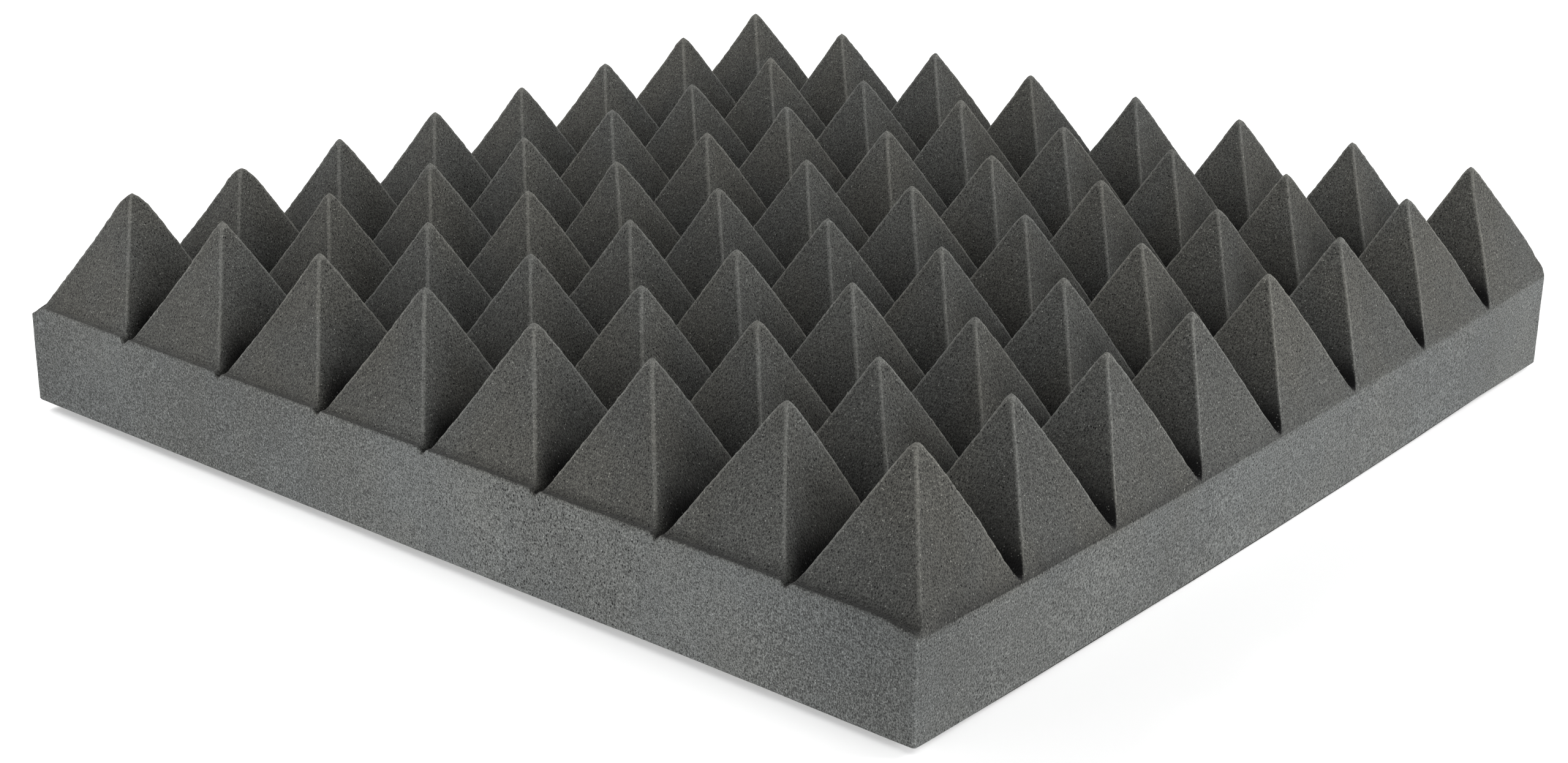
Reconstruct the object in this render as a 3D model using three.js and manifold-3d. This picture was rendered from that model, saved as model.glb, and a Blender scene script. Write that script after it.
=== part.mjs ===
// Acoustic foam panel: one square block of open-cell foam, flat underneath, with a field of
// pyramids cut into its top by two sets of straight grooves that cross at right angles.
// Millimetres, +Z up, origin in the middle of the underside. Grooves run along X and along Y.
//
// The real panel is a single piece of foam. Here it is divided where its own shape divides it:
// a base slab, and on it one row of pyramids between each pair of grooves that run along X.
// The rows lie face to face on the slab and against each other, as the foam does.

import * as THREE from 'three';
import { mergeVertices } from 'three/addons/utils/BufferGeometryUtils.js';
import Module from 'manifold-3d';

const wasm = await Module();
wasm.setup();

// Block
const panelLength = 500; // along X
const panelWidth = 500; // along Y
const panelHeight = 100; // underside to pyramid tips
const grooveFloorHeight = 44.5; // underside to the lowest line of the grooves
const cornerRadius = 3; // the four upright corners, in plan

// Pyramid field
const fileCount = 8; // files of pyramids, side by side along X
const rowCount = 8; // rows of pyramids, one behind the other along Y
const tipRadius = 2; // rounding of the crests that cross at each tip
const grooveRadius = 4; // rounding of the groove floors
const rowBedThickness = 4.5; // foam that a row of pyramids keeps under its groove floors

// The block was trimmed this far off the field's own edge, so that one wall along each axis
// stands just outside the last groove and the opposite wall just inside it
const fieldShiftX = 2.3;
const fieldShiftY = 2.5;

// Half of a round stretch has this many straight steps
const roundSteps = 3;

// A cutting shape runs this far past what it cuts
const overrun = 5;

// Open-cell polyurethane foam: charcoal, with no gloss
const foamColour = 0x5b5b59;
const foamRoughness = 0.96;

const pitchX = panelLength / fileCount;
const pitchY = panelWidth / rowCount;
const slabHeight = grooveFloorHeight - rowBedThickness;

// Place of groove number k on its axis. Groove 0 and groove `count` are the field's own edges.
function groovePlace(k, count, pitch, shift) {
  return (k - count / 2) * pitch + shift;
}

// Angle of the flanks against the level. A flank is straight and touches a crest arc at its top
// and a groove arc at its foot, so that
// halfPitch * sin(angle) = depth * cos(angle) + radii * (1 - cos(angle))
function flankAngle(pitch) {
  const depth = panelHeight - grooveFloorHeight;
  const radii = tipRadius + grooveRadius;
  const run = pitch / 2;
  const rise = depth - radii;
  return Math.atan2(rise, run) + Math.asin(radii / Math.hypot(run, rise));
}

// Section of the foam across one set of grooves, above the level of the slab. It runs from half
// a pitch outside the first groove to half a pitch outside the last one, crest to crest.
function grooveSection(count, pitch, shift) {
  const angle = flankAngle(pitch);
  const halfPitch = pitch / 2;
  const crestCentre = panelHeight - tipRadius;
  const floorCentre = grooveFloorHeight + grooveRadius;
  const up = Math.PI / 2;
  const down = -up;
  const left = groovePlace(0, count, pitch, shift) - halfPitch;
  const right = groovePlace(count, count, pitch, shift) + halfPitch;
  const shape = new THREE.Shape();
  shape.moveTo(left, slabHeight);
  shape.lineTo(right, slabHeight);
  for (let k = count; k >= 0; k -= 1) {
    const groove = groovePlace(k, count, pitch, shift);
    const crest = groove + halfPitch;
    const crestStart = k === count ? up : up - angle;
    shape.absarc(crest, crestCentre, tipRadius, crestStart, up + angle, false);
    shape.absarc(groove, floorCentre, grooveRadius, down + angle, down - angle, true);
  }
  shape.absarc(left, crestCentre, tipRadius, up - angle, up, false);
  shape.closePath();
  return shape;
}

// Outline of the block in plan, with its corners rounded
function blockOutline() {
  const x = panelLength / 2;
  const y = panelWidth / 2;
  const cornerX = x - cornerRadius;
  const cornerY = y - cornerRadius;
  const quarter = Math.PI / 2;
  const shape = new THREE.Shape();
  shape.absarc(cornerX, cornerY, cornerRadius, 0, quarter, false);
  shape.absarc(-cornerX, cornerY, cornerRadius, quarter, 2 * quarter, false);
  shape.absarc(-cornerX, -cornerY, cornerRadius, 2 * quarter, 3 * quarter, false);
  shape.absarc(cornerX, -cornerY, cornerRadius, 3 * quarter, 4 * quarter, false);
  shape.closePath();
  return shape;
}

// Outline in plan of the strip between two grooves that run along X
function stripOutline(yLow, yHigh) {
  const x = panelLength / 2 + overrun;
  const shape = new THREE.Shape();
  shape.moveTo(-x, yLow);
  shape.lineTo(x, yLow);
  shape.lineTo(x, yHigh);
  shape.lineTo(-x, yHigh);
  shape.closePath();
  return shape;
}

// Closed solid of a shape drawn in the plane of `across` and `upward`, extruded along the third
// direction from `start` to `end`
function extrudeSolid(shape, start, end, across, upward) {
  const geometry = new THREE.ExtrudeGeometry(shape, {
    depth: end - start,
    curveSegments: roundSteps,
    bevelEnabled: false,
  });
  geometry.translate(0, 0, start);
  const along = new THREE.Vector3().crossVectors(across, upward);
  geometry.applyMatrix4(new THREE.Matrix4().makeBasis(across, upward, along));
  geometry.deleteAttribute('normal');
  geometry.deleteAttribute('uv');
  const merged = mergeVertices(geometry);
  return new wasm.Manifold(new wasm.Mesh({
    numProp: 3,
    vertProperties: new Float32Array(merged.attributes.position.array),
    triVerts: new Uint32Array(merged.index.array),
  }));
}

// Geometry of a finished solid, with flat faces
function solidGeometry(solid) {
  const mesh = solid.getMesh();
  const geometry = new THREE.BufferGeometry();
  geometry.setAttribute('position', new THREE.BufferAttribute(new Float32Array(mesh.vertProperties), 3));
  geometry.setIndex(new THREE.BufferAttribute(new Uint32Array(mesh.triVerts), 1));
  const flat = geometry.toNonIndexed();
  flat.computeVertexNormals();
  return flat;
}

const axisX = new THREE.Vector3(1, 0, 0);
const axisY = new THREE.Vector3(0, 1, 0);
const axisZ = new THREE.Vector3(0, 0, 1);

// The slab under the pyramids
function baseSlab() {
  return extrudeSolid(blockOutline(), 0, slabHeight, axisX, axisY);
}

// All the foam above the slab. The grooves along Y are the section across X, and the grooves
// along X are the section across Y: what both leave standing is the field of pyramids.
function pyramidField() {
  const reachX = panelLength / 2 + overrun;
  const reachY = panelWidth / 2 + overrun;
  const acrossX = grooveSection(fileCount, pitchX, fieldShiftX);
  const acrossY = grooveSection(rowCount, pitchY, fieldShiftY);
  const block = extrudeSolid(blockOutline(), slabHeight, panelHeight + overrun, axisX, axisY);
  const groovesAlongY = extrudeSolid(acrossX, -reachY, reachY, axisX, axisZ);
  const groovesAlongX = extrudeSolid(acrossY, -reachX, reachX, axisY, axisZ);
  return block.intersect(groovesAlongY).intersect(groovesAlongX);
}

// Row number k of the field. The first and the last row reach out to the block's walls.
function pyramidRow(field, k) {
  const reachY = panelWidth / 2 + overrun;
  const isFirst = k === 0;
  const isLast = k === rowCount - 1;
  const yLow = isFirst ? -reachY : groovePlace(k, rowCount, pitchY, fieldShiftY);
  const yHigh = isLast ? reachY : groovePlace(k + 1, rowCount, pitchY, fieldShiftY);
  const strip = stripOutline(yLow, yHigh);
  return field.intersect(extrudeSolid(strip, slabHeight - overrun, panelHeight + overrun, axisX, axisY));
}

function foamPiece(name, solid) {
  const material = new THREE.MeshStandardMaterial({
    color: foamColour,
    roughness: foamRoughness,
    metalness: 0,
  });
  const mesh = new THREE.Mesh(solidGeometry(solid), material);
  mesh.name = name;
  return mesh;
}

const panel = new THREE.Group();
panel.add(foamPiece('base_slab', baseSlab()));
const field = pyramidField();
for (let k = 0; k < rowCount; k += 1) {
  panel.add(foamPiece(`pyramid_row_${k + 1}`, pyramidRow(field, k)));
}

export default panel;
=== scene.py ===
"""Looks of the acoustic foam panel.

One surface is worked out for the whole panel: a field of pyramids on top, four cut walls and a flat
underside. It is then divided as the frame is, into a slab and rows of pyramids, and each piece is
closed where it meets its neighbours. Lengths are millimetres until a mesh is made from them.
"""

import itertools
import math

import bpy
import numpy as np
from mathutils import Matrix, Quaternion, Vector


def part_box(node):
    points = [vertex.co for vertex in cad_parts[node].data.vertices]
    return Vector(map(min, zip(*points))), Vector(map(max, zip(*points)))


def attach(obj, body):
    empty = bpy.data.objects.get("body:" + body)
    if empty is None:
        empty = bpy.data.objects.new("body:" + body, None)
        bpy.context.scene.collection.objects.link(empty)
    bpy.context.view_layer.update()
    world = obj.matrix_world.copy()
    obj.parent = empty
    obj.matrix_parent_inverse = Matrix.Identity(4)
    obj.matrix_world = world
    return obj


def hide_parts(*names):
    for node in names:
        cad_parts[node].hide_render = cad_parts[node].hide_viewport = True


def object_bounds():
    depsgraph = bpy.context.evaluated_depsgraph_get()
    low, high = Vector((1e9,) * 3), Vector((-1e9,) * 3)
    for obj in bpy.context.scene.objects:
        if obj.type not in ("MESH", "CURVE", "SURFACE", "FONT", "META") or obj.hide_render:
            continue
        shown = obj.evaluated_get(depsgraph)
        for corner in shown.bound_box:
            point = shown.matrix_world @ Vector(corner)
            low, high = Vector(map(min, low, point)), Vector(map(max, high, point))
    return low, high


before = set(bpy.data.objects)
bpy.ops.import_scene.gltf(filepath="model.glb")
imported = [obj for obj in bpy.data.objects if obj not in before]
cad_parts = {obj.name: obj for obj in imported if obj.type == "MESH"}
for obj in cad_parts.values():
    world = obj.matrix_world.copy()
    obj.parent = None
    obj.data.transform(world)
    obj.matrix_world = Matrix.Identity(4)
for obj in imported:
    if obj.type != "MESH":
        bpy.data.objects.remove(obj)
frame_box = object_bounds()

MM = 0.001  # one millimetre in metres
SLAB_NODE = "base_slab"
ROW_NODES = sorted(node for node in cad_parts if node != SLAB_NODE)
BODY = "root"
SEED = 7

# The block, as the frame has it
WALL_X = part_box(SLAB_NODE)[1][0] / MM
WALL_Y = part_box(SLAB_NODE)[1][1] / MM
DECK_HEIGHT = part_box(SLAB_NODE)[1][2] / MM
TIP_HEIGHT = frame_box[1][2] / MM
CORNER_RADIUS = 1.5  # upright corners, in plan

# The field of pyramids
FILES = 8  # side by side along X
ROWS = len(ROW_NODES)  # one behind the other along Y
PITCH = 2 * WALL_X / FILES
HALF_PITCH = PITCH / 2
SHIFT_X = 2.3  # from the block's middle to the field's
SHIFT_Y = 2.5
FLOOR_HEIGHT = 44.5  # lowest line of the grooves
GROOVE_SOFTNESS = 2.0  # reach of the fillet at the bottom of a groove
RIDGE_SOFTNESS = 1.3  # height over which two flanks run into one another
RIDGE_SOFTENS = (1.0, 8.0)  # it grows from nothing to that between these heights over a groove floor
TIP_RADII = (0.9, 1.6)
TIP_LOSS = 1.4  # a round tip ends this many radii under the point of a sharp one
TIP_CUT = 0.86  # the point is cut off at this share of that
TIP_BLEND = 2.5  # and the cut is rounded over this many radii
LEDGE_RISE = 1.9  # the outer grooves at -X and -Y are filled up to here, behind the edge
LEDGE_END = 22.0  # it falls away over this length to the corner at +X -Y
RIGHT_TRIM = 1.0  # the last flanks at +X end this much closer to their groove line, with no fillet

# Marks that the material reads: how near a place is to a ridge, how much painted shade it gets at the
# bottom of a groove, or how much it is a cut wall
RIDGE_WIDTH = 1.1  # half width of the pale line along a ridge: partly its fuzzier cut foam, partly a painted highlight
RIDGE_FADES_IN = (1.0, 10.0)  # between these heights over a groove floor
TIP_FADES_IN = (0.90, 0.97)  # a tip is marked as a ridge between these shares of its height
CORNER_MARK = 0.5  # how much the upright corners are marked as ridges, and so get the same pale line, partly a painted highlight
GROOVE_SHADE_REACH = 10.5  # height over which the painted shade at the bottom of a groove fades out
OUTER_GROOVE_SHADE = (0.10, 0.32)  # painted shade of the open feet at the walls, far from the corner +X -Y and near it
OUTER_REACH = 6.0  # height over which they fade out
SIDE_SHADE_FROM = 2.0  # grooves along Y get painted shade at their feet from this far behind the wall at -Y
MOUTHS = (6.0, 1.0)  # in their mouths the painted shade of the open feet fades out between these distances from that wall
MOUTH_RISE = 2.0  # and less so higher up, by this height
OPEN_FLANK = (-1.0, 2.0)  # flanks at +X get no painted shade at their feet, from this much under the flanks beside them
EDGE_BLEND = (0.5, 0.2)  # how much like a wall the top looks where it meets one, far and near
NEAR_CORNER = (80.0, 380.0)  # near ends and far begins at these distances from the corner +X -Y
EDGE_WIDTH = 1.2  # length over which that changes
CORNER_SHADE_REACH = 55.0  # painted shade: the foam is darker this far round the corner at +X -Y

# How the foam departs from the drawing. Single pyramids are given by file and row.
TIP_LEAN = 0.4  # spread of the tips sideways
TIP_GROWTH = 0.35  # and in height
LEAN_POWER = 1.5  # what is under a tip leans less, by this power of its share of the height
LEANING_TIPS = {
    (0, 1): (0.6, 0.5),
    (0, 6): (0.6, 0.4),
    (2, 3): (-2.6, 0.0),
    (3, 3): (-2.0, 0.0),
    (4, 7): (1.5, 1.1),
    (6, 0): (3.4, 0.6),
    (7, 0): (0.0, 0.4),
    (7, 1): (-2.0, 0.4),
    (7, 6): (-0.4, -0.3),
    (7, 7): (0.2, 0.0),
}
GROWN_TIPS = {(0, 0): 3.0, (0, 1): 1.0, (7, 6): 1.5, (4, 7): -0.8}
BLUNT_TIPS = {(0, 0): 3.4, (0, 1): 2.9}
BACK_BULGE = 0.7  # pyramids are this much fuller behind their crests
BULGES = {(7, 0): 1.4}
LEFT_HOLLOW = 0.65  # and up to this much hollower at the ridge to -X -Y
HOLLOW_END = 150.0  # which weakens along X and ends here, apart from the last row
CREST_BAND = (-4.0, 8.0)  # both set in over this band across a crest
PUSH_RISE = 30.0  # and over this height from the groove floors
SPREAD_LEFT = 2.2  # the foam spreads at -X and +Y
SPREAD_BACK = 1.7
SPREAD_REACH = 30.0
SPREAD_KEPT = 0.25  # the share of it that is left in the pyramids
SPREAD_FADE = 14.0  # and it falls to that over this height
PULL = 4.0  # the corner at +X +Y is drawn out along Y, but not its tips
PULL_FROM = (160.0, -30.0)  # from nothing here, in plan
PULL_TO = (225.0, 240.0)  # to all of it here
PULL_FALL = 15.0  # it weakens from this far over the groove floors
CUP_X = 0.5  # the middle lies on the floor, and the edges across X and Y curl up by this much
CUP_Y = 4.1
UPRIGHT_EDGE = 8.0  # the walls stay upright, and the foam turns with the curl this far behind them
WORN_DROP = 4.4  # the corner at -X -Y is pressed down
WORN_REACH = 9.0
SAGS = (  # corners that hang down: their sides, how far, the share of that at the top, their reach
    (1, -1, 1.15, 0.25, 120.0),
    (1, 1, 2.3, 0.0, 36.0),
)
SOFT_EDGE = 0.8  # rounding where the top meets the walls at -X and -Y
CRISP_EDGE = 0.3  # and at +X and +Y
UNDER_EDGE = 0.6  # and under all the walls

# Unevenness of the top and of the walls: size of its lumps, height of its lumps
TOP_LUMPS = ((28.0, 0.25), (7.0, 0.05), (1.1, 0.08))
RIDGE_LUMPS = 3.0  # the smallest lumps of the top are this much higher on a ridge
WALL_LUMPS = ((70.0, 0.45), (14.0, 0.12), (1.1, 0.05))
LATTICE = 64  # lumps repeat after this many

# How finely the surface is divided
CELLS_PER_PITCH = 96
STEP = PITCH / CELLS_PER_PITCH
SLAB_WALL_CELLS = 25
ROW_WALL_CELLS = 6
LEAST_CELL = 0.35  # cells at the walls are at least this share of a step wide


def smoothstep(values, low, high):
    """0 up to low, 1 from high on, and a smooth way between them."""
    share = np.clip((values - low) / (high - low), 0, 1)
    return share * share * (3 - 2 * share)


def smooth_min(a, b, depth):
    """The lower of a and b, rounded where they cross."""
    depth = np.maximum(depth, 1e-6)
    share = np.clip(0.5 + 0.5 * (b - a) / depth, 0, 1)
    return b + (a - b) * share - depth * share * (1 - share)


def lumps(points, size, seed):
    """Smooth noise from -1 to 1 at these points, with lumps of that size."""
    values = np.random.default_rng(seed).uniform(-1, 1, (LATTICE, LATTICE, LATTICE))
    base = np.floor(points / size).astype(int)
    part = points / size - base
    part = part * part * (3 - 2 * part)
    total = np.zeros(len(points))
    for corner in itertools.product((0, 1), repeat=3):
        share = np.prod(np.where(corner, part, 1 - part), axis=1)
        index = (base + corner) % LATTICE
        total += share * values[index[:, 0], index[:, 1], index[:, 2]]
    return total


# The field of pyramids

POINT_RISE = TIP_HEIGHT - FLOOR_HEIGHT + TIP_LOSS * sum(TIP_RADII) / 2
SLOPE = POINT_RISE / (HALF_PITCH - GROOVE_SOFTNESS)


def from_groove(places, shift):
    """Distance to the nearest groove line."""
    turns = (places - shift) / PITCH
    return np.abs(turns - np.round(turns)) * PITCH


def pyramid_number(places, shift, count):
    """The file or row of each place. Lips outside the outer grooves go with their neighbours."""
    turns = (places - shift) / PITCH + count / 2
    return np.clip(np.floor(turns).astype(int), 0, count - 1)


def crest(number, shift, count):
    """Where the tips of a file or row lie."""
    return (number + 0.5 - count / 2) * PITCH + shift


def flank_rise(distance):
    """Height over the groove floor at this distance from the groove line."""
    return SLOPE * (np.hypot(distance, GROOVE_SOFTNESS) - GROOVE_SOFTNESS)


def fill_ledge(rise, places, shift, count, share):
    """Fills the outermost groove on the lower side of an axis, up to this share of the ledge."""
    outer = places < shift - (count / 2 - 0.5) * PITCH
    outside = places < shift - count / 2 * PITCH
    rise = np.where(outside, rise * share, rise)
    return np.where(outer, -smooth_min(-rise, -LEDGE_RISE * share, np.minimum(share, 1.0)), rise)


def by_corner(x, y, amounts):
    """The first amount far from the corner at +X -Y, the second near it, and a smooth way between."""
    far = smoothstep(np.hypot(x - WALL_X, y + WALL_Y), *NEAR_CORNER)
    return amounts[1] + (amounts[0] - amounts[1]) * far


def groove_shade_mark(rise, places, shift, count, open_shade):
    """How much painted shade this height over a groove floor gets. Most in a groove within the field."""
    nearest = np.round((places - shift) / PITCH + count / 2)
    outer = (nearest <= 0) | (nearest >= count)
    return np.where(outer, open_shade * np.exp(-rise / OUTER_REACH), np.exp(-rise / GROOVE_SHADE_REACH))


def groove_shade_marks(x, y, trimmed, rise_x, rise_y):
    """How much painted shade each place gets, at the bottom of a groove along either axis."""
    open_shade = by_corner(x, y, OUTER_GROOVE_SHADE)
    shade_x = groove_shade_mark(rise_x, trimmed, SHIFT_X, FILES, open_shade)
    shade_x *= smoothstep(y, -WALL_Y + SIDE_SHADE_FROM, -WALL_Y + 2 * GROOVE_SHADE_REACH)
    shade_y = groove_shade_mark(rise_y, y, SHIFT_Y, ROWS, open_shade)
    shade_y *= 1 - smoothstep(-y, WALL_Y - MOUTHS[0], WALL_Y - MOUTHS[1]) * np.exp(-rise_x / MOUTH_RISE)
    last_flank = x > crest(FILES - 1, SHIFT_X, FILES)
    shade_y *= 1 - last_flank * smoothstep(rise_y - rise_x, *OPEN_FLANK)
    return np.maximum(shade_x, shade_y)


def ridge_marks(rise_x, rise_y, share):
    """How near each place is to a ridge, or to a tip at this share of its height."""
    to_ridge = np.abs(rise_x - rise_y) / SLOPE
    ridge = np.exp(-((to_ridge / RIDGE_WIDTH) ** 2))
    ridge *= smoothstep(np.minimum(rise_x, rise_y), *RIDGE_FADES_IN)
    return np.maximum(ridge, smoothstep(share, *TIP_FADES_IN))


def tip_facts():
    """For each file and row: where the tip leans to, what it adds in height, its radius, its bulge."""
    rng = np.random.default_rng(SEED)
    lean = rng.normal(0, TIP_LEAN, (FILES, ROWS, 2))
    growth = rng.normal(0, TIP_GROWTH, (FILES, ROWS))
    radius = rng.uniform(*TIP_RADII, (FILES, ROWS))
    for place, to in LEANING_TIPS.items():
        lean[place] = to
    for place, grown in GROWN_TIPS.items():
        growth[place] = grown
    for place, blunt in BLUNT_TIPS.items():
        radius[place] = blunt
    bulge = np.full((FILES, ROWS), BACK_BULGE)
    for place, fuller in BULGES.items():
        bulge[place] = fuller
    return lean, growth, radius, bulge


def pushed(x, y, rise, bulge):
    """How far each place goes to +X and +Y: fuller behind the crests, hollower at the ridge to -X -Y."""
    file = pyramid_number(x, SHIFT_X, FILES)
    row = pyramid_number(y, SHIFT_Y, ROWS)
    up = smoothstep(rise, 0.0, PUSH_RISE)
    behind = smoothstep(y - crest(row, SHIFT_Y, ROWS), *CREST_BAND) * up
    beside = smoothstep(crest(file, SHIFT_X, FILES) - x, *CREST_BAND) * up
    hollow = LEFT_HOLLOW * np.maximum(1 - smoothstep(x, -WALL_X, HOLLOW_END), row == ROWS - 1)
    return bulge[file, row] * behind + hollow * beside * (1 - behind)


def field_surface(x, y):
    """Points of the top over these places in plan, how near each is to a ridge, and how much painted shade
    it gets at the bottom of a groove.
    """
    lean, growth, radius, bulge = tip_facts()
    near_corner = smoothstep(x, WALL_X - LEDGE_END, WALL_X)
    trimmed = x + RIGHT_TRIM * smoothstep(x, WALL_X - HALF_PITCH, WALL_X)
    distance = from_groove(trimmed, SHIFT_X)
    sharp = smoothstep(x, WALL_X - HALF_PITCH, WALL_X - HALF_PITCH / 2)
    fillet = SLOPE * (np.hypot(distance, GROOVE_SOFTNESS) - distance)
    rise_x = fill_ledge(flank_rise(distance) - sharp * fillet, x, SHIFT_X, FILES, 1.0)
    rise_y = fill_ledge(flank_rise(from_groove(y, SHIFT_Y)), y, SHIFT_Y, ROWS, 1 - near_corner)
    softness = RIDGE_SOFTNESS * smoothstep(np.minimum(rise_x, rise_y), *RIDGE_SOFTENS)
    rise = smooth_min(rise_x, rise_y, softness)
    file = pyramid_number(x, SHIFT_X, FILES)
    row = pyramid_number(y, SHIFT_Y, ROWS)
    blunt = radius[file, row]
    rise = smooth_min(rise, POINT_RISE - TIP_CUT * TIP_LOSS * blunt, TIP_BLEND * blunt)
    share = np.clip(rise / POINT_RISE, 0, 1)
    leaning = share ** LEAN_POWER
    moved = pushed(x, y, rise, bulge)
    points = np.stack([
        x + lean[file, row, 0] * leaning + moved,
        y + lean[file, row, 1] * leaning + moved,
        FLOOR_HEIGHT + rise + growth[file, row] * share,
    ], axis=-1)
    ridge = ridge_marks(rise_x, rise_y, share)
    groove_shade = groove_shade_marks(x, y, trimmed, rise_x, rise_y)
    return points, ridge, groove_shade


def cut_lines(wall, shift):
    """Where the surface is divided along one axis: even steps from the groove lines, and the walls."""
    first = math.ceil((-wall - shift) / STEP + LEAST_CELL)
    last = math.floor((wall - shift) / STEP - LEAST_CELL)
    inner = np.arange(first, last + 1) * STEP + shift
    return np.concatenate([[-wall], inner, [wall]])


def beyond(places, wall):
    """How far places lie in the band of a corner's radius along a wall, outwards."""
    return np.maximum(np.abs(places) - (wall - CORNER_RADIUS), 0) * np.sign(places)


def round_corners(points):
    """Moves points in, in plan, so that the block's upright corners are round."""
    over = np.stack([beyond(points[..., 0], WALL_X), beyond(points[..., 1], WALL_Y)], axis=-1)
    reach = np.abs(over).max(axis=-1)
    length = np.linalg.norm(over, axis=-1)
    share = np.where(length > 0, 1 - reach / np.maximum(length, 1e-9), 0)
    points[..., :2] -= over * share[..., None]


class Surface:
    """Points of the whole panel, which its pieces share, and what each point is part of."""

    def __init__(self):
        self.points = np.zeros((0, 3))
        self.marks = {name: np.zeros(0) for name in ("ridge", "groove_shade", "wall")}

    def add(self, points, **marks):
        """Adds points in any grid shape and returns their numbers in that shape."""
        shape = points.shape[:-1]
        first = len(self.points)
        self.points = np.concatenate([self.points, points.reshape(-1, 3)])
        for name, values in self.marks.items():
            added = np.broadcast_to(marks.get(name, 0.0), shape).ravel()
            self.marks[name] = np.concatenate([values, added])
        return np.arange(first, len(self.points)).reshape(shape)


def quads(grid):
    """Quads of a grid of point numbers, facing the side from which its rows and columns turn left."""
    corners = [grid[:-1, :-1], grid[:-1, 1:], grid[1:, 1:], grid[1:, :-1]]
    return np.stack(corners, axis=-1).reshape(-1, 4)


def ridged_cells(grid, xs, ys):
    """Two triangles in each cell of the top, divided so that an edge runs along every ridge."""
    a, b, c, d = grid[:-1, :-1], grid[:-1, 1:], grid[1:, 1:], grid[1:, :-1]
    x = ((xs[:-1] + xs[1:]) / 2)[None, :]
    y = ((ys[:-1] + ys[1:]) / 2)[:, None]
    off_x = x - crest(pyramid_number(x, SHIFT_X, FILES), SHIFT_X, FILES)
    off_y = y - crest(pyramid_number(y, SHIFT_Y, ROWS), SHIFT_Y, ROWS)
    rising = (off_x * off_y > 0)[..., None]
    first = np.where(rising, np.stack([a, b, c], axis=-1), np.stack([a, b, d], axis=-1))
    second = np.where(rising, np.stack([a, c, d], axis=-1), np.stack([b, c, d], axis=-1))
    return np.stack([first, second], axis=2)


def point_normals(points, face_groups):
    """Smooth normals of the points, from the faces in these groups, large faces counting more."""
    total = np.zeros_like(points)
    for faces in face_groups:
        corners = points[faces]
        if faces.shape[1] == 3:
            normals = np.cross(corners[:, 1] - corners[:, 0], corners[:, 2] - corners[:, 0])
        else:
            normals = np.cross(corners[:, 2] - corners[:, 0], corners[:, 3] - corners[:, 1])
        for corner in range(faces.shape[1]):
            for axis in range(3):
                total[:, axis] += np.bincount(faces[:, corner], normals[:, axis], len(points))
    length = np.linalg.norm(total, axis=1, keepdims=True)
    return total / np.maximum(length, 1e-12)


# The surface: top, walls, and the level sheets under the rows and under the slab

surface = Surface()
xs = cut_lines(WALL_X, SHIFT_X)
ys = cut_lines(WALL_Y, SHIFT_Y)
groove_lines = (np.arange(1, ROWS) - ROWS / 2) * PITCH + SHIFT_Y
borders = [0, *np.abs(ys[:, None] - groove_lines).argmin(axis=0), len(ys) - 1]

plan_x, plan_y = np.meshgrid(xs, ys)
top_points, ridge, groove_shade = field_surface(plan_x, plan_y)
worn_x = smoothstep(-plan_x, WALL_X - WORN_REACH, WALL_X)
worn_y = smoothstep(-plan_y, WALL_Y - 2 * WORN_REACH, WALL_Y)
top_points[..., 2] -= WORN_DROP * worn_x * worn_y
round_corners(top_points)
from_wall = np.minimum(WALL_X - np.abs(plan_x), WALL_Y - np.abs(plan_y))
edge = by_corner(plan_x, plan_y, EDGE_BLEND) * np.exp(-from_wall / EDGE_WIDTH) * (1 - groove_shade)
top = surface.add(top_points, ridge=ridge, groove_shade=groove_shade, wall=edge)

# The walls are columns of points that go round the panel from its corner at -X -Y
ring = np.concatenate([top[0, :-1], top[:-1, -1], top[-1, :0:-1], top[:0:-1, 0]])
ring_points = surface.points[ring]
RIGHT_COLUMN = len(xs) - 1  # the column at the corner +X -Y
BACK_COLUMN = RIGHT_COLUMN + len(ys) - 1  # +X +Y
LEFT_COLUMN = BACK_COLUMN + len(xs) - 1  # -X +Y
at_wall = np.stack([
    np.sign(beyond(ring_points[:, 0], WALL_X)),
    np.sign(beyond(ring_points[:, 1], WALL_Y)),
], axis=-1)


def ring_at(height, inset=0.0):
    """Points round the walls at this height, moved in by inset."""
    plan = ring_points[:, :2] - at_wall * inset
    return np.column_stack([plan, np.broadcast_to(height, len(plan))])


slab_heights = np.linspace(UNDER_EDGE, DECK_HEIGHT, SLAB_WALL_CELLS + 1)
slab_rings = [ring_at(0.0, UNDER_EDGE), *(ring_at(height) for height in slab_heights)]
slab_wall = surface.add(np.stack(slab_rings), wall=1.0)
wall_rise = ring_points[:, 2] - DECK_HEIGHT
row_shares = np.arange(1, ROW_WALL_CELLS) / ROW_WALL_CELLS
row_rings = [ring_at(DECK_HEIGHT + wall_rise * share) for share in row_shares]
under_top = wall_rise * (1 - row_shares)[:, None]
ring_blend = by_corner(ring_points[:, 0], ring_points[:, 1], EDGE_BLEND)
row_marks = 1 - (1 - ring_blend) * np.exp(-under_top / EDGE_WIDTH)
row_wall = np.concatenate([slab_wall[-1:], surface.add(np.stack(row_rings), wall=row_marks), ring[None]])
# The upright corners get the ridges' pale line, partly a painted highlight
to_corner = np.hypot(WALL_X - np.abs(ring_points[:, 0]), WALL_Y - np.abs(ring_points[:, 1]))
corner_mark = CORNER_MARK * np.exp(-((to_corner / CORNER_RADIUS) ** 2))
for rings in (slab_wall, row_wall):
    surface.marks["ridge"][rings] = np.maximum(surface.marks["ridge"][rings], corner_mark)


def left_column(line):
    """The column at -X on this line of the top."""
    return (LEFT_COLUMN + len(ys) - 1 - line) % len(ring)


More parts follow.
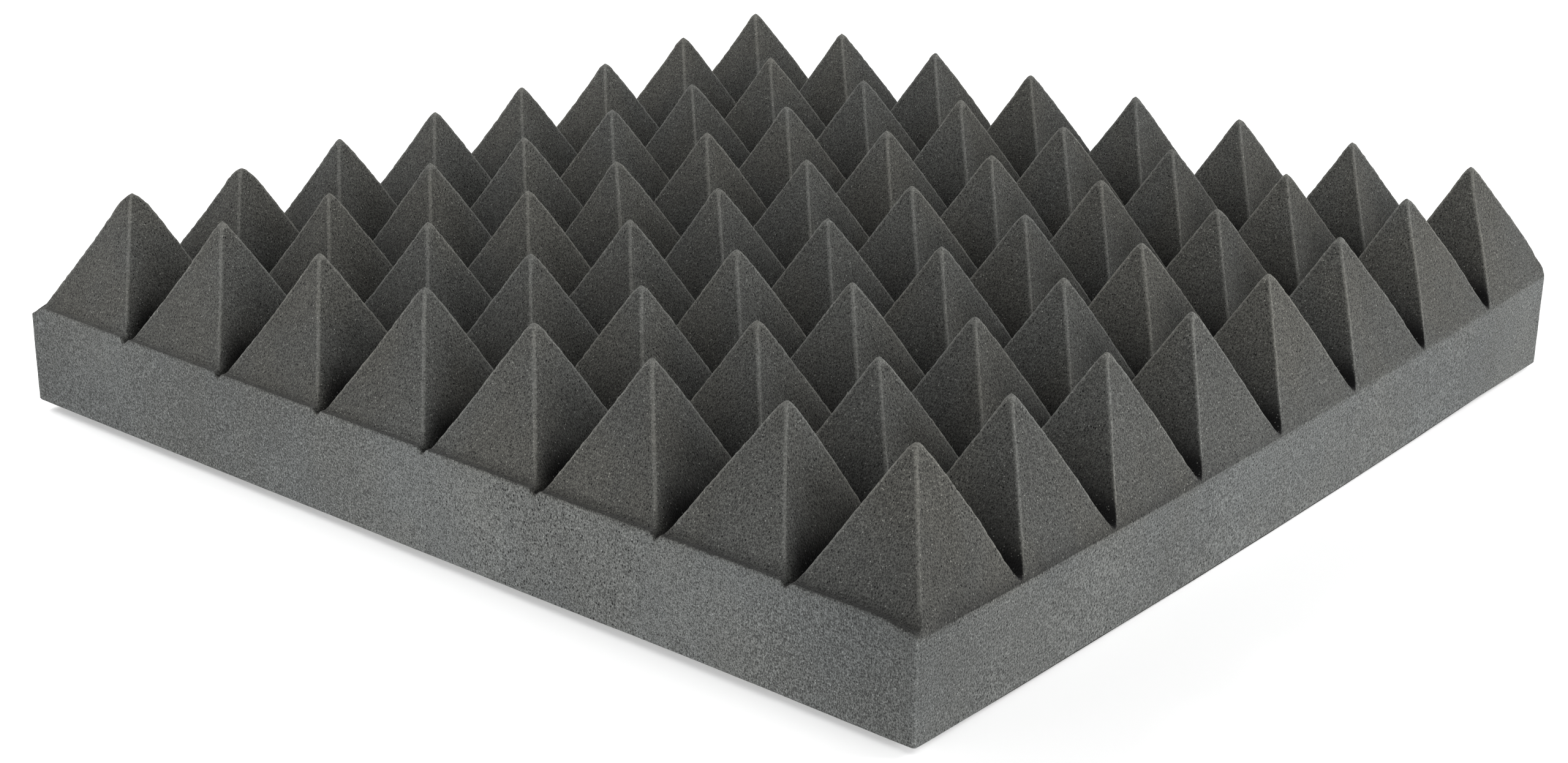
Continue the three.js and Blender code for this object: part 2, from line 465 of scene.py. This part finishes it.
def sheet_lines(level, height):
    """Points of a level sheet within the walls, along the lines on which the rows meet."""
    numbers = np.zeros((ROWS + 1, len(xs)), int)
    numbers[0] = level[:RIGHT_COLUMN + 1]
    numbers[-1] = level[BACK_COLUMN:LEFT_COLUMN + 1][::-1]
    for k in range(1, ROWS):
        inner = np.array([(x, ys[borders[k]], height) for x in xs[1:-1]])
        numbers[k, 1:-1] = surface.add(inner)
        numbers[k, 0] = level[left_column(borders[k])]
        numbers[k, -1] = level[RIGHT_COLUMN + borders[k]]
    return numbers


underside = sheet_lines(slab_wall[0], 0.0)
deck = sheet_lines(slab_wall[-1], DECK_HEIGHT)
top_cells = ridged_cells(top, xs, ys)
closed = np.arange(len(ring) + 1) % len(ring)
outer_faces = [top_cells.reshape(-1, 3), quads(slab_wall[:, closed]), quads(row_wall[:, closed])]


def soften_edges(points):
    """Takes the points of the edge between the top and the walls in a little."""
    crisp = at_wall.max(axis=1) > 0
    rounding = np.where(crisp, CRISP_EDGE, SOFT_EDGE)
    points[ring, :2] -= at_wall * rounding[:, None] / 2
    points[ring, 2] -= rounding / 2


def add_lumps(points, wall):
    """Makes the top and the walls uneven, and keeps the sheets level."""
    normals = point_normals(points, outer_faces)
    for number, (on_top, on_wall) in enumerate(zip(TOP_LUMPS, WALL_LUMPS)):
        top_part = lumps(points, on_top[0], SEED + number) * on_top[1]
        if number == len(TOP_LUMPS) - 1:
            top_part *= 1 + (RIDGE_LUMPS - 1) * surface.marks["ridge"]
        wall_part = lumps(points, on_wall[0], SEED - 1 - number) * on_wall[1]
        points += normals * (top_part * (1 - wall) + wall_part * wall)[:, None]
    points[slab_wall[0], 2] = 0.0
    points[slab_wall[-1], 2] = DECK_HEIGHT


def hang_corners(points):
    """Lets the corners in SAGS hang down."""
    height = smoothstep(points[:, 2], 0.0, FLOOR_HEIGHT)
    for side_x, side_y, drop, top_share, reach in SAGS:
        to_corner = np.hypot(points[:, 0] - side_x * WALL_X, points[:, 1] - side_y * WALL_Y)
        sag = drop * (1 - (1 - top_share) * height)
        points[:, 2] -= sag * smoothstep(-to_corner, -reach, 0.0)


def corner_pull(points):
    """How far the corner at +X +Y is drawn out along Y, at each point."""
    pull = PULL * (1 - smoothstep(points[:, 2], FLOOR_HEIGHT + PULL_FALL, TIP_HEIGHT))
    for axis in range(2):
        pull = pull * smoothstep(points[:, axis], PULL_FROM[axis], PULL_TO[axis])
    return pull


def curl_edges(points):
    """Curls the edges up, which tips the pyramids inwards, and draws out the corner at +X +Y."""
    points[:, 2] += CUP_X * (points[:, 0] / WALL_X) ** 2 + CUP_Y * (points[:, 1] / WALL_Y) ** 2
    pull = corner_pull(points)
    lean = 2 * CUP_Y / WALL_Y ** 2 * np.minimum(TIP_HEIGHT - points[:, 2], TIP_HEIGHT - FLOOR_HEIGHT)
    behind_wall = smoothstep(WALL_Y - np.abs(points[:, 1]), 0.0, UPRIGHT_EDGE)
    points[:, 1] += points[:, 1] * lean * behind_wall + pull


def spread_foam(points):
    """Spreads the foam at -X and +Y, less so in the pyramids."""
    kept = 1 - (1 - SPREAD_KEPT) * smoothstep(points[:, 2], FLOOR_HEIGHT, FLOOR_HEIGHT + SPREAD_FADE)
    points[:, 0] -= kept * SPREAD_LEFT * smoothstep(-points[:, 0], WALL_X - SPREAD_REACH, WALL_X)
    points[:, 1] += kept * SPREAD_BACK * smoothstep(points[:, 1], WALL_Y - SPREAD_REACH, WALL_Y)


soften_edges(surface.points)
add_lumps(surface.points, surface.marks["wall"])
hang_corners(surface.points)
curl_edges(surface.points)
spread_foam(surface.points)
normals = point_normals(surface.points, outer_faces)
# Painted shade: the foam round the corner at +X -Y is darkened
to_shaded_corner = np.linalg.norm(surface.points - (WALL_X, -WALL_Y, FLOOR_HEIGHT), axis=1)
surface.marks["corner_shade"] = np.exp(-((to_shaded_corner / CORNER_SHADE_REACH) ** 2))


# Pieces

class Shell:
    """Faces of one piece, by the numbers of the surface's points."""

    def __init__(self):
        self.corners, self.sizes, self.outer = [], [], []

    def add(self, faces, outer):
        """Adds faces that all have the same number of corners."""
        faces = np.atleast_2d(faces)
        self.corners.append(faces.ravel())
        self.sizes.append(np.full(len(faces), faces.shape[1]))
        self.outer.append(np.full(len(faces), outer))


def sheet_strip(lines, level, k):
    """Faces of a level sheet under row k, facing up: quads, and the two end faces at the walls."""
    low, high = borders[k], borders[k + 1]
    inner = quads(lines[k:k + 2, 1:-1])
    right = level[RIGHT_COLUMN + np.arange(low, high + 1)]
    left = level[left_column(np.arange(high, low - 1, -1))]
    right_end = np.concatenate([lines[k, -2:-1], right, lines[k + 1, -2:-1]])
    left_end = np.concatenate([left, lines[k, 1:2], lines[k + 1, 1:2]])
    return inner, right_end, left_end


def add_strip(shell, lines, level, k, up, outer=False):
    """Adds the part of a level sheet under row k, facing up or down."""
    for faces in sheet_strip(lines, level, k):
        faces = np.atleast_2d(faces)
        shell.add(faces if up else faces[:, ::-1], outer)


def add_side(shell, k, back):
    """Adds the upright faces in which the foam of two rows meets, at line k between them."""
    line = borders[k]
    upright = np.stack([deck[k], top[line]])
    inner = quads(upright[:, 1:-1])
    right = row_wall[:, RIGHT_COLUMN + line]
    left = row_wall[::-1, left_column(line)]
    right_end = np.concatenate([upright[0, -2:-1], right, upright[1, -2:-1]])
    left_end = np.concatenate([left, upright[:, 1]])
    for faces in (inner, right_end, left_end):
        faces = np.atleast_2d(faces)
        shell.add(faces[:, ::-1] if back else faces, False)


def slab_shell():
    """The slab: its walls, its underside and the deck that the rows lie on."""
    shell = Shell()
    shell.add(quads(slab_wall[:, closed]), True)
    for k in range(ROWS):
        add_strip(shell, underside, slab_wall[0], k, up=False)
        add_strip(shell, deck, slab_wall[-1], k, up=True)
    return shell


def row_shell(k):
    """Row k of pyramids, with its share of the walls."""
    shell = Shell()
    low, high = borders[k], borders[k + 1]
    shell.add(top_cells[low:high].reshape(-1, 3), True)
    columns = [RIGHT_COLUMN + np.arange(low, high + 1), left_column(np.arange(high, low - 1, -1))]
    if k == 0:
        columns.append(np.arange(RIGHT_COLUMN + 1))
    else:
        add_side(shell, k, back=False)
    if k == ROWS - 1:
        columns.append(np.arange(BACK_COLUMN, LEFT_COLUMN + 1))
    else:
        add_side(shell, k + 1, back=True)
    for run in columns:
        shell.add(quads(row_wall[:, run]), True)
    add_strip(shell, deck, slab_wall[-1], k, up=False)
    return shell


def make_piece(node, shell, material):
    """Makes the piece that stands for a node of the frame."""
    corners = np.concatenate(shell.corners)
    sizes = np.concatenate(shell.sizes)
    outer = np.concatenate(shell.outer)
    used, local = np.unique(corners, return_inverse=True)
    mesh = bpy.data.meshes.new(node + "_foam")
    mesh.vertices.add(len(used))
    mesh.vertices.foreach_set("co", (surface.points[used] * MM).ravel())
    mesh.loops.add(len(local))
    mesh.loops.foreach_set("vertex_index", local.ravel())
    mesh.polygons.add(len(sizes))
    mesh.polygons.foreach_set("loop_start", np.cumsum(sizes) - sizes)
    mesh.update(calc_edges=True)
    mesh.polygons.foreach_set("use_smooth", outer)
    face_normals = np.zeros(3 * len(sizes))
    mesh.polygons.foreach_get("normal", face_normals)
    own = np.repeat(face_normals.reshape(-1, 3), sizes, axis=0)
    smooth = np.repeat(outer, sizes)[:, None]
    mesh.normals_split_custom_set(np.where(smooth, normals[corners], own))
    for name, values in surface.marks.items():
        layer = mesh.attributes.new("foam_" + name, "FLOAT", "POINT")
        layer.data.foreach_set("value", values[used])
    mesh.materials.append(material)
    piece = bpy.data.objects.new(node + "_foam", mesh)
    bpy.context.scene.collection.objects.link(piece)
    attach(piece, BODY)
    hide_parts(node)
    return piece


# Foam

CELL = 0.95 * MM  # mean size of the foam's cells
CELL_STRETCH = 0.72  # cells are this much shorter across than along Z
CELL_RANDOMNESS = 0.75
CELL_BEND = 0.4  # cells are bent by up to this many cells
BENDS_PER_CELL = 1.3
GRAINS_PER_CELL = 2.2
SPECKS_PER_CELL = 1.5
BLOTCHES_PER_METRE = 14.0
PATCH = 45 * MM  # size of the patches that are a little warmer or cooler
WARM_RANGE = (0.35, 0.65)  # values of their noise that become the coolest and the warmest

# Brightness of the foam. Pairs are the darkest and the brightest.
CELL_TONES = (0.65, 1.30)  # in the middle of a cell, and at its border
CELL_BORDER = (0.15, 0.65)  # between these distances from the middle, in cells
KIND_TONES = (0.92, 1.08)  # from cell to cell
GRAIN_TONES = (0.50, 1.50)
BLOTCH_TONES = (0.92, 1.08)
NOISE_RANGE = (0.3, 0.7)  # values of a noise that become the darkest and the brightest
PORE_KINDS = (0.90, 0.93)  # a cell whose random number is over these is an open pore
PORE_EDGE = (0.2, 0.42)  # which ends between these distances from its middle
PORE_TONE = 0.2  # against that of the foam round it
GLINT_KINDS = (0.90, 0.94)  # and so with specks that glint
GLINT_EDGE = (0.2, 0.5)
GLINT_TONES = (0.7, 3.1)  # added to the foam's own
CONTRAST = 1.05  # of all tones but glints
RIDGE_CONTRAST = 0.62  # less on ridges
WALL_CONTRAST = 0.08  # more on walls
RIDGE_LIGHT = 2.3  # brightness of ridges, against that of the flanks: partly their fuzzier cut foam, partly a painted highlight
GROOVE_SHADE_TONE = 0.03  # of feet: painted shade at the bottom of the grooves
FULL_GROOVE_SHADE = 0.72  # from this mark on
WALL_LIGHT = 1.64  # of walls
CORNER_SHADE_TONE = 0.78  # brightness of the painted shade round the corner at +X -Y

# Relief of the foam
BUMP_DEPTH = 0.25 * MM
BUMP_STRENGTH = 0.7
BUMP_BORDER = (0.05, 0.7)  # a cell rises between these distances from its middle, in cells
BUMP_GRAIN = 0.5  # height of the grain, against that of a cell's border

# Colours of the foam, at the coolest and the warmest
TOP_COLOURS = ((0.0440, 0.0448, 0.0421), (0.0451, 0.0446, 0.0401))
WALL_COLOURS = ((0.0414, 0.0434, 0.0426), (0.0420, 0.0433, 0.0415))


class Nodes:
    """Makes the nodes of one tree and links them."""

    def __init__(self, tree):
        self.tree = tree
        tree.nodes.clear()

    def add(self, kind, inputs=None, **settings):
        """A new node. An input is a number, a colour or another node's output."""
        node = self.tree.nodes.new(kind)
        for name, value in settings.items():
            setattr(node, name, value)
        for socket, value in (inputs or {}).items():
            if isinstance(value, bpy.types.NodeSocket):
                self.tree.links.new(value, node.inputs[socket])
            else:
                node.inputs[socket].default_value = value
        return node

    def math(self, operation, one, two=0.0, clamp=False):
        """The output of a Math node."""
        node = self.add("ShaderNodeMath", {0: one, 1: two}, operation=operation, use_clamp=clamp)
        return node.outputs[0]

    def between(self, value, low, high, to_low=0.0, to_high=1.0):
        """value from low to high becomes to_low to to_high, smoothly."""
        inputs = {"Value": value, 1: low, 2: high, 3: to_low, 4: to_high}
        return self.add("ShaderNodeMapRange", inputs, interpolation_type="SMOOTHSTEP").outputs[0]

    def blend(self, share, one, two):
        """The colour one at a share of 0, two at 1, and mixtures between them."""
        colours = [c if isinstance(c, bpy.types.NodeSocket) else (*c, 1.0) for c in (one, two)]
        node = self.add("ShaderNodeMixRGB", {0: share, 1: colours[0], 2: colours[1]})
        return node.outputs[0]

    def mark(self, name):
        """A mark of the surface's points."""
        node = self.add("ShaderNodeAttribute", attribute_name="foam_" + name)
        return node.outputs["Fac"]


def foam_material():
    """Charcoal open-cell foam: dark pores between lighter struts, paler on cut walls and on ridges, with a
    painted highlight on the ridges, and painted shade at the bottom of the grooves and round the corner at
    +X -Y.
    """
    material = bpy.data.materials.new("charcoal_foam")
    material.use_nodes = True
    nodes = Nodes(material.node_tree)
    object_place = nodes.add("ShaderNodeTexCoord").outputs["Object"]
    squeeze = nodes.add("ShaderNodeVectorMath", {0: object_place, 1: (1.0, 1.0, CELL_STRETCH)},
        operation="MULTIPLY")
    place = squeeze.outputs[0]
    ridge, groove_shade, wall = nodes.mark("ridge"), nodes.mark("groove_shade"), nodes.mark("wall")

    bend = nodes.add("ShaderNodeTexNoise", {"Vector": place, "Scale": BENDS_PER_CELL / CELL, "Detail": 1.0})
    bent = nodes.add("ShaderNodeMixRGB", {0: CELL_BEND * CELL, 1: place, 2: bend.outputs["Color"]},
        blend_type="ADD")
    cells = nodes.add("ShaderNodeTexVoronoi", {
        "Vector": bent.outputs[0], "Scale": 1 / CELL, "Randomness": CELL_RANDOMNESS,
    })
    cell_kind = nodes.add("ShaderNodeSeparateColor", {0: cells.outputs["Color"]})
    grain = nodes.add("ShaderNodeTexNoise", {
        "Vector": place, "Scale": GRAINS_PER_CELL / CELL, "Detail": 1.5,
    })
    specks = nodes.add("ShaderNodeTexVoronoi", {"Vector": place, "Scale": SPECKS_PER_CELL / CELL})
    speck_kind = nodes.add("ShaderNodeSeparateColor", {0: specks.outputs["Color"]})
    blotch = nodes.add("ShaderNodeTexNoise", {"Vector": place, "Scale": BLOTCHES_PER_METRE, "Detail": 5.0})

    strut = nodes.between(cells.outputs["Distance"], *CELL_BORDER, *CELL_TONES)
    strut = nodes.math("MULTIPLY", strut, nodes.between(cell_kind.outputs[0], 0.0, 1.0, *KIND_TONES))
    strut = nodes.math("MULTIPLY", strut, nodes.between(grain.outputs["Fac"], *NOISE_RANGE, *GRAIN_TONES))
    open_pore = nodes.math("MULTIPLY",
        nodes.between(cell_kind.outputs[1], *PORE_KINDS),
        nodes.between(cells.outputs["Distance"], *PORE_EDGE, 1.0, 0.0))
    strut = nodes.math("MULTIPLY", strut, nodes.between(open_pore, 0.0, 1.0, 1.0, PORE_TONE))
    strut = nodes.math("MULTIPLY", strut, nodes.between(blotch.outputs["Fac"], *NOISE_RANGE, *BLOTCH_TONES))
    contrast = nodes.math("SUBTRACT", CONTRAST, nodes.math("MULTIPLY", ridge, RIDGE_CONTRAST))
    contrast = nodes.math("ADD", contrast, nodes.math("MULTIPLY", wall, WALL_CONTRAST))
    strut = nodes.math("ADD", 1.0, nodes.math("MULTIPLY", nodes.math("SUBTRACT", strut, 1.0), contrast))
    glint = nodes.math("MULTIPLY",
        nodes.between(speck_kind.outputs[0], *GLINT_KINDS),
        nodes.between(specks.outputs["Distance"], *GLINT_EDGE, 1.0, 0.0))
    glint = nodes.math("MULTIPLY", glint, nodes.between(speck_kind.outputs[1], 0.0, 1.0, *GLINT_TONES))

    # Painted highlight on ridges beside their fuzzier cut foam, painted shade at the bottom of the grooves,
    # and the walls' own paler finish
    light = nodes.between(ridge, 0.0, 1.0, 1.0, RIDGE_LIGHT)
    light = nodes.math("MULTIPLY", light, nodes.between(groove_shade, 0.0, FULL_GROOVE_SHADE, 1.0, GROOVE_SHADE_TONE))
    light = nodes.math("MULTIPLY", light, nodes.between(wall, 0.0, 1.0, 1.0, WALL_LIGHT))
    # Painted shade round the corner at +X -Y
    corner_shade = nodes.mark("corner_shade")
    light = nodes.math("MULTIPLY", light, nodes.between(corner_shade, 0.0, 1.0, 1.0, CORNER_SHADE_TONE))
    patch = nodes.add("ShaderNodeTexNoise", {"Vector": place, "Scale": 1 / PATCH, "Detail": 2.0})
    warm = nodes.between(patch.outputs["Fac"], *WARM_RANGE)
    top_colour = nodes.blend(warm, *TOP_COLOURS)
    wall_colour = nodes.blend(warm, *WALL_COLOURS)
    tinted = nodes.blend(wall, top_colour, wall_colour)
    bright = nodes.math("ADD", nodes.math("MULTIPLY", strut, light), glint)
    colour = nodes.add("ShaderNodeVectorMath", {0: tinted, "Scale": bright}, operation="SCALE")

    height = nodes.math("ADD",
        nodes.between(cells.outputs["Distance"], *BUMP_BORDER),
        nodes.math("MULTIPLY", grain.outputs["Fac"], BUMP_GRAIN))
    height = nodes.math("SUBTRACT", height, open_pore)
    bump = nodes.add("ShaderNodeBump", {
        "Height": height, "Strength": BUMP_STRENGTH, "Distance": BUMP_DEPTH,
    })
    foam = nodes.add("ShaderNodeBsdfPrincipled", {
        "Base Color": colour.outputs[0],
        "Roughness": 0.95,
        "Specular IOR Level": 0.1,
        "Sheen Weight": 0.06,
        "Sheen Roughness": 0.6,
        "Normal": bump.outputs[0],
    })
    nodes.add("ShaderNodeOutputMaterial", {"Surface": foam.outputs[0]})
    return material


foam = foam_material()
make_piece(SLAB_NODE, slab_shell(), foam)
for number, node in enumerate(ROW_NODES):
    make_piece(node, row_shell(number), foam)


# Camera

CAMERA_PLACE = (0.75294, -0.95056, 0.48546)
CAMERA_AZIMUTH = math.radians(38.87)
CAMERA_ELEVATION = math.radians(21.665)
CAMERA_ROLL = math.radians(0.78)
SENSOR_WIDTH = 36.0
LENS = 63.4066


def place_camera():
    """The camera, where the photograph was taken from."""
    data = bpy.data.cameras.new("camera")
    data.sensor_fit = "HORIZONTAL"
    data.sensor_width = SENSOR_WIDTH
    data.lens = LENS
    data.clip_start = 0.01
    camera = bpy.data.objects.new("camera", data)
    level = math.cos(CAMERA_ELEVATION)
    ahead = Vector((
        -math.sin(CAMERA_AZIMUTH) * level,
        math.cos(CAMERA_AZIMUTH) * level,
        -math.sin(CAMERA_ELEVATION),
    ))
    roll = Quaternion((0, 0, 1), CAMERA_ROLL)
    camera.rotation_mode = "QUATERNION"
    camera.rotation_quaternion = ahead.to_track_quat("-Z", "Y") @ roll
    camera.location = CAMERA_PLACE
    bpy.context.scene.collection.objects.link(camera)
    bpy.context.scene.camera = camera


# Studio

FLOOR_RADIUS = 30.0
FLOOR_COLOUR = (0.93, 0.93, 0.93)
FLOOR_GLOW = 0.25  # a faint light of its own, so that it shows white
RIM_CORNERS = 96
SOFTBOXES = {  # azimuth and elevation in degrees, distance, width and height in metres, power in watts
    "softbox_left": (-20.0, 12.0, 2.2, 1.6, 0.8, 10.6),
    "softbox_near": (9.0, 2.5, 0.34, 0.36, 0.03, 0.06),
    "softbox_side": (89.0, 9.0, 0.6, 0.3, 0.1, 0.12),
    "softbox_right": (84.0, 12.0, 3.2, 2.4, 1.1, 59.5),
    "softbox_far_left": (-70.0, 38.0, 1.8, 1.2, 0.7, 24.5),
    "softbox_behind": (140.0, 35.0, 3.0, 2.0, 1.2, 68.0),
}
SKY_LIGHT = 2.25  # strength of the surroundings near the horizon
SKY_FADE = (0.15, 0.5)  # they darken to nothing between these heights of the direction looked in


def make_floor():
    """A wide round floor, plain and pale."""
    mesh = bpy.data.meshes.new("floor")
    turns = [2 * math.pi * k / RIM_CORNERS for k in range(RIM_CORNERS)]
    rim = [(FLOOR_RADIUS * math.cos(t), FLOOR_RADIUS * math.sin(t), 0.0) for t in turns]
    mesh.from_pydata(rim, [], [list(range(len(rim)))])
    material = bpy.data.materials.new("pale_floor")
    material.use_nodes = True
    nodes = Nodes(material.node_tree)
    shader = nodes.add("ShaderNodeBsdfPrincipled", {
        "Base Color": (*FLOOR_COLOUR, 1.0), "Roughness": 0.9, "Specular IOR Level": 0.1,
        "Emission Color": (1.0, 1.0, 1.0, 1.0), "Emission Strength": FLOOR_GLOW,
    })
    nodes.add("ShaderNodeOutputMaterial", {"Surface": shader.outputs[0]})
    mesh.materials.append(material)
    floor = bpy.data.objects.new("floor", mesh)
    bpy.context.scene.collection.objects.link(floor)


def add_softbox(name, azimuth, elevation, distance, width, height, power):
    """A soft light that faces the panel. Azimuth 0 is from -Y, 90 from +X."""
    data = bpy.data.lights.new(name, "AREA")
    data.shape = "RECTANGLE"
    data.size, data.size_y, data.energy = width, height, power
    light = bpy.data.objects.new(name, data)
    turn, tilt = math.radians(azimuth), math.radians(elevation)
    away = Vector((
        math.sin(turn) * math.cos(tilt),
        -math.cos(turn) * math.cos(tilt),
        math.sin(tilt),
    ))
    light.location = away * distance
    light.visible_camera = False
    light.rotation_mode = "QUATERNION"
    light.rotation_quaternion = (-away).to_track_quat("-Z", "Y")
    bpy.context.scene.collection.objects.link(light)


def light_studio():
    """Low soft lights at both visible walls, higher ones behind, and surroundings palest low down."""
    for name, facts in SOFTBOXES.items():
        add_softbox(name, *facts)
    world = bpy.data.worlds.new("studio")
    bpy.context.scene.world = world
    world.use_nodes = True
    nodes = Nodes(world.node_tree)
    place = nodes.add("ShaderNodeTexCoord").outputs["Generated"]
    up = nodes.add("ShaderNodeSeparateXYZ", {0: place}).outputs["Z"]
    strength = nodes.between(up, *SKY_FADE, SKY_LIGHT, 0.0)
    background = nodes.add("ShaderNodeBackground", {"Color": (1, 1, 1, 1), "Strength": strength})
    nodes.add("ShaderNodeOutputWorld", {"Surface": background.outputs[0]})


place_camera()
make_floor()
light_studio()
bpy.context.scene.view_settings.view_transform = "Standard"
